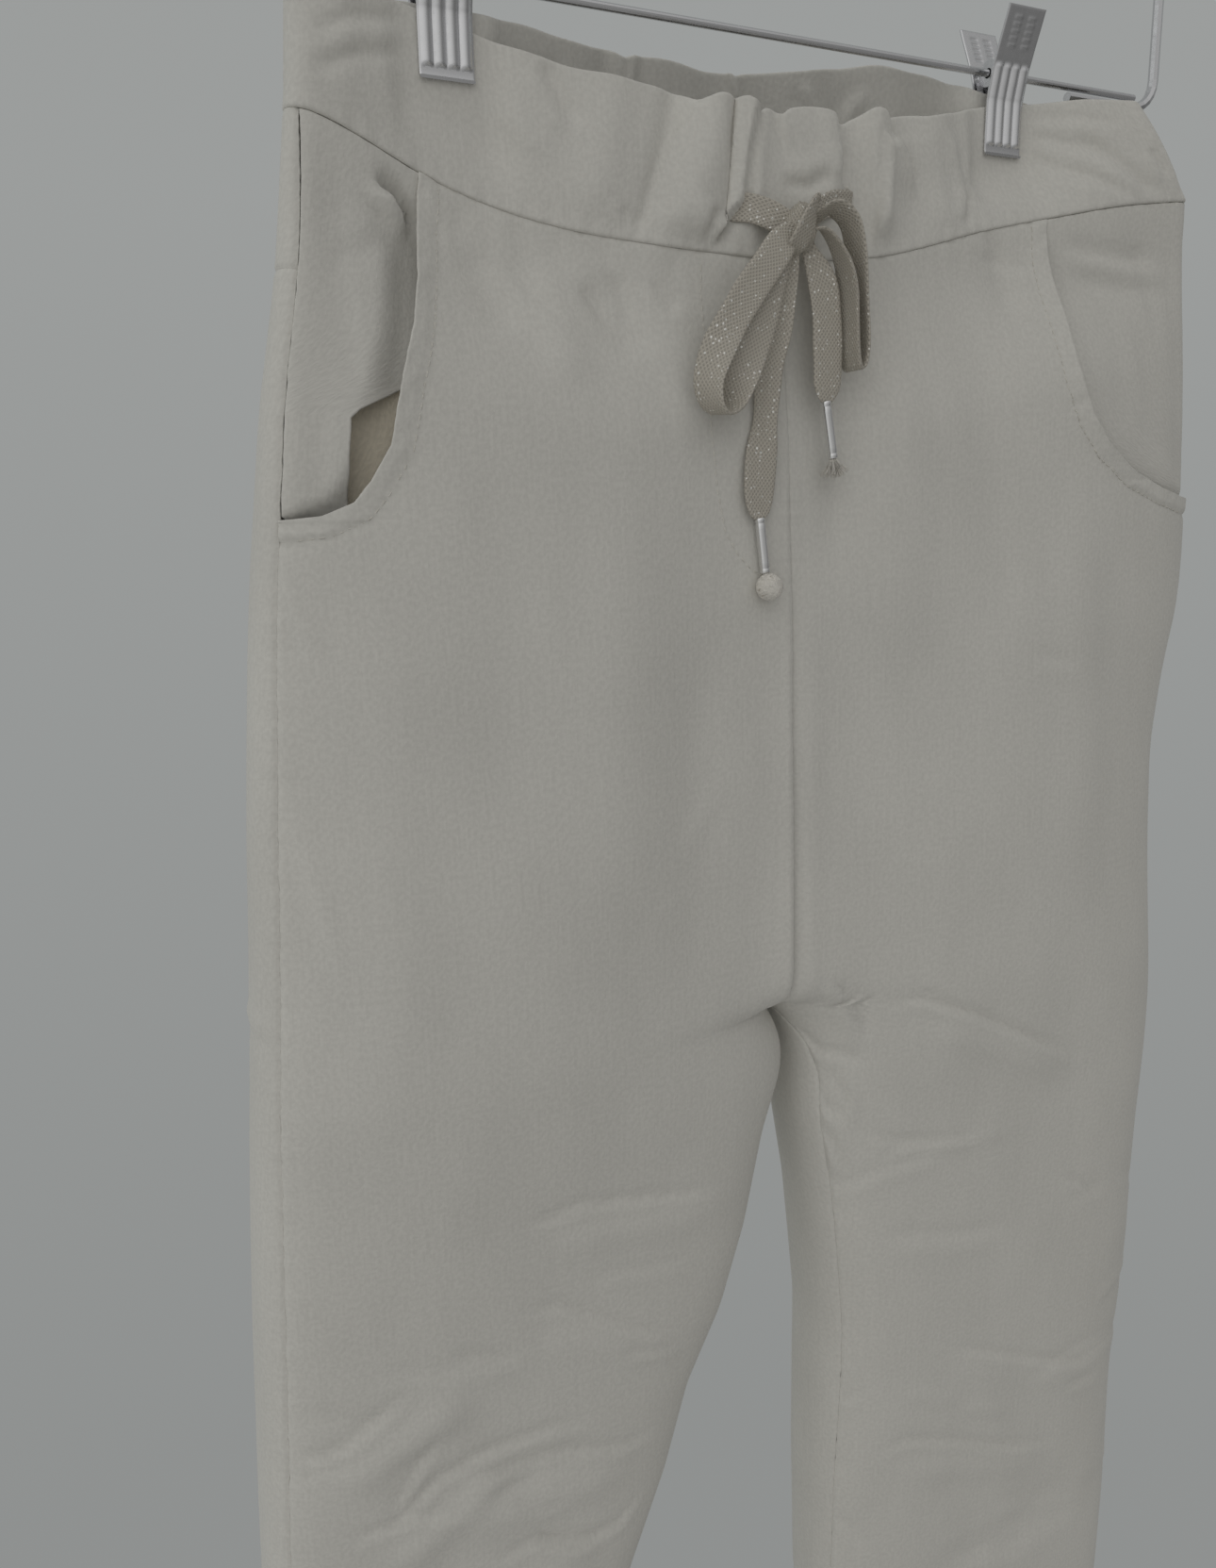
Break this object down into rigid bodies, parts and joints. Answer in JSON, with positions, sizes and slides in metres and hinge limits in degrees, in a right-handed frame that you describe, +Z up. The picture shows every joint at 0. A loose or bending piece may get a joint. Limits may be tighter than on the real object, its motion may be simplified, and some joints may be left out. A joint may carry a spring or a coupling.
{
  "type": "joggers on a clip hanger",
  "caption": "Pull-on cloth joggers with a gathered waistband, curved side pockets and a tied flat drawstring, held by the waist on a wire clip hanger.",
  "frame": {"origin": "the inside top of the hanger's hook, where it hangs on a rail", "axes": "+X to the viewer's right, the wearer's left; -Y is the front of the trousers; +Z up, with the legs hanging down"},
  "size_m": [0.4552, 0.0924, 1.2492],
  "materials": {
    "cloth": "matte off-white stretch cotton, a fine twill with slubs",
    "pocket_cloth": "thin plain-weave cotton",
    "tape": "flat braid with a metallic glitter thread",
    "tip_metal": "bright polished",
    "thread": "soft cotton thread",
    "hanger_metal": "bright plated steel"
  },
  "bodies": {
    "root": {"waistband_front": "cloth", "waistband_back": "cloth", "front_left": "cloth", "front_right": "cloth", "back_left": "cloth", "back_right": "cloth", "yoke_left": "cloth", "yoke_right": "cloth", "pocket_facing_left": "cloth", "pocket_facing_right": "cloth", "pocket_bag_left": "pocket_cloth", "pocket_bag_right": "pocket_cloth", "drawstring_strap_left": "tape", "drawstring_strap_right": "tape", "drawstring_knot": "tape", "drawstring_loop_left": "tape", "drawstring_loop_right": "tape", "drawstring_tail_left": "tape", "drawstring_tail_right": "tape", "tip_left": "tip_metal", "tip_right": "tip_metal", "tip_ball": "thread", "tip_tuft": "thread", "hanger_rod": "hanger_metal", "hanger_frame_left": "hanger_metal", "hanger_frame_right": "hanger_metal", "hanger_neck": "hanger_metal", "hanger_hook": "hanger_metal", "clip_front_left": "hanger_metal", "clip_back_left": "hanger_metal", "clip_spring_left": "hanger_metal", "clip_front_right": "hanger_metal", "clip_back_right": "hanger_metal", "clip_spring_right": "hanger_metal"}
  },
  "joints": []
}
